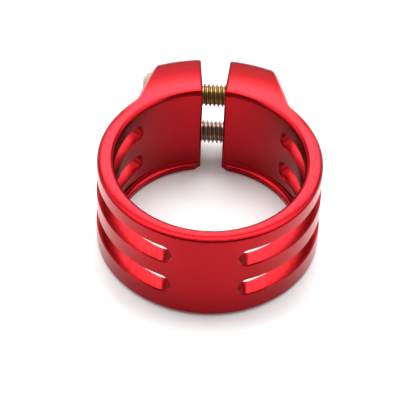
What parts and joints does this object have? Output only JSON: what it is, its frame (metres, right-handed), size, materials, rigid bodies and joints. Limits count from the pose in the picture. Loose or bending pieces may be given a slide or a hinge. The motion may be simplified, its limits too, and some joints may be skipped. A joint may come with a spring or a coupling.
{
  "type": "seatpost clamp",
  "caption": "Slotted split collar for a bicycle seat tube, with an inner lip at one end and ears at the slit that cap screws draw together.",
  "frame": {"origin": "on the bore axis at the shoulder of the lip, where the end of the seat tube stops", "axes": "+Z along the bore axis, out of the mouth that the seat tube enters; +Y towards the slit and the ears; bolt heads on the -X side"},
  "size_m": [0.0375, 0.0439, 0.018],
  "materials": {
    "collar": "satin red anodised",
    "bolt": "steel, yellow zinc plated",
    "washer": "bright steel"
  },
  "bodies": {
    "collar": {"collar": "collar"},
    "washer_upper": {"washer_upper": "washer"},
    "bolt_upper": {"bolt_upper": "bolt"},
    "washer_lower": {"washer_lower": "washer"},
    "bolt_lower": {"bolt_lower": "bolt"}
  },
  "joints": [
    {"name": "upper_travel", "type": "slide", "parent": "collar", "child": "washer_upper", "axis": [-1, 0, 0], "range_m": [0, 0.0049]},
    {"name": "upper_turn", "type": "hinge", "parent": "washer_upper", "child": "bolt_upper", "pos_m": [0, 0.01995, 0.01145], "axis": [-1, 0, 0], "range_deg": [0, 2521]},
    {"name": "lower_travel", "type": "slide", "parent": "collar", "child": "washer_lower", "axis": [-1, 0, 0], "range_m": [0, 0.0049]},
    {"name": "lower_turn", "type": "hinge", "parent": "washer_lower", "child": "bolt_lower", "pos_m": [0, 0.01995, 0.00275], "axis": [-1, 0, 0], "range_deg": [0, 2521]}
  ],
  "couplings": [
    {"joint": "upper_turn", "follows": "upper_travel", "rad_per_m": 8976},
    {"joint": "lower_turn", "follows": "lower_travel", "rad_per_m": 8976}
  ]
}
